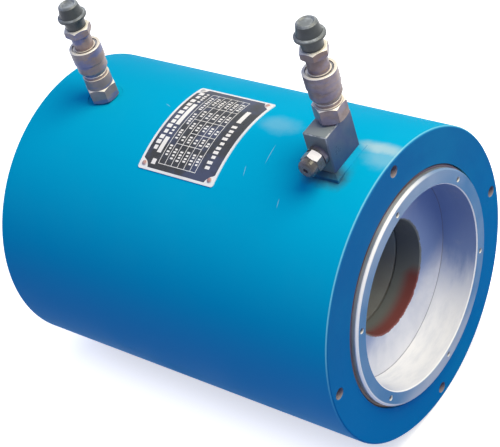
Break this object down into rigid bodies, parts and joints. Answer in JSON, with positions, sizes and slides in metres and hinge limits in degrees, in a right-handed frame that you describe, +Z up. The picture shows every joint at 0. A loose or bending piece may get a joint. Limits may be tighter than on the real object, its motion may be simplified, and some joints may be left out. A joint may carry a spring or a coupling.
{
  "type": "feed-through hydraulic jack",
  "caption": "Hollow-plunger hydraulic jack with a through bore, a tool-anchor seat in its ram and quick couplers for advance and return oil.",
  "frame": {"origin": "centre of the base face, on the jack's axis", "axes": "+X along the axis, the way the ram comes out; +Z up, the way the oil nozzles point; +Y away from the relief valve's cap"},
  "size_m": [0.375, 0.285, 0.421],
  "materials": {
    "blue_paint": "gloss enamel",
    "ram_steel": "turned",
    "primer_red": "matt primer",
    "machined_steel": "turned",
    "black_oxide": "blackened steel",
    "zinc_plate": "zinc plated",
    "spring_steel": "drawn wire",
    "seal_rubber": "moulded",
    "guide_bronze": "turned bronze",
    "wiper_polymer": "moulded",
    "cap_rubber": "moulded",
    "plate_aluminium": "brushed and printed",
    "rivet_copper": "copper",
    "washer_copper": "copper"
  },
  "bodies": {
    "jack": {"barrel": "blue_paint", "centre_tube": "primer_red", "tube_static_ring": "seal_rubber", "gland_ring": "blue_paint", "seal_plate": "machined_steel", "plate_static_ring": "seal_rubber", "rod_seal": "seal_rubber", "rod_guide_ring": "guide_bronze", "wiper": "wiper_polymer", "valve_block": "black_oxide", "block_foot_ring": "seal_rubber", "relief_seat": "machined_steel", "relief_spring": "spring_steel", "relief_cap": "black_oxide", "nameplate": "plate_aluminium", "nameplate_rivets": "rivet_copper", "adapter_a": "zinc_plate", "sealing_washer_a": "washer_copper", "socket_body_a": "zinc_plate", "lock_balls_a": "machined_steel", "sleeve_stop_ring_a": "spring_steel", "sleeve_spring_a": "spring_steel", "nose_seal_a": "seal_rubber", "socket_poppet_a": "machined_steel", "socket_poppet_spring_a": "spring_steel", "plug_body_a": "zinc_plate", "plug_poppet_a": "machined_steel", "plug_poppet_spring_a": "spring_steel", "plug_spring_seat_a": "machined_steel", "adapter_b": "zinc_plate", "sealing_washer_b": "washer_copper", "socket_body_b": "zinc_plate", "lock_balls_b": "machined_steel", "sleeve_stop_ring_b": "spring_steel", "sleeve_spring_b": "spring_steel", "nose_seal_b": "seal_rubber", "socket_poppet_b": "machined_steel", "socket_poppet_spring_b": "spring_steel", "plug_body_b": "zinc_plate", "plug_poppet_b": "machined_steel", "plug_poppet_spring_b": "spring_steel", "plug_spring_seat_b": "machined_steel"},
    "ram": {"ram": "ram_steel", "piston_guide_rings": "guide_bronze", "piston_seal": "seal_rubber", "inner_guide_ring": "guide_bronze", "inner_seal": "seal_rubber"},
    "relief": {"relief_poppet": "machined_steel"},
    "sleeve_a": {"coupler_sleeve_a": "zinc_plate"},
    "sleeve_b": {"coupler_sleeve_b": "zinc_plate"},
    "cap_a": {"dust_cap_a": "cap_rubber"},
    "cap_b": {"dust_cap_b": "cap_rubber"}
  },
  "joints": [
    {"name": "ram_stroke", "type": "slide", "parent": "jack", "child": "ram", "axis": [1, 0, 0], "range_m": [0, 0.2]},
    {"name": "relief_lift", "type": "slide", "parent": "jack", "child": "relief", "axis": [0, -1, 0], "range_m": [0, 0.001], "stiffness_N_per_m": 4000, "springref_m": -0.002, "deforming": ["relief_spring"]},
    {"name": "sleeve_release_a", "type": "slide", "parent": "jack", "child": "sleeve_a", "axis": [0, 0, -1], "range_m": [0, 0.0025], "stiffness_N_per_m": 2500, "springref_m": -0.004, "deforming": ["sleeve_spring_a"]},
    {"name": "sleeve_release_b", "type": "slide", "parent": "jack", "child": "sleeve_b", "axis": [0, 0, -1], "range_m": [0, 0.0025], "stiffness_N_per_m": 2500, "springref_m": -0.004, "deforming": ["sleeve_spring_b"]},
    {"name": "cap_off_a", "type": "slide", "parent": "jack", "child": "cap_a", "axis": [0, 0, 1], "range_m": [0, 0.03]},
    {"name": "cap_off_b", "type": "slide", "parent": "jack", "child": "cap_b", "axis": [0, 0, 1], "range_m": [0, 0.03]}
  ]
}
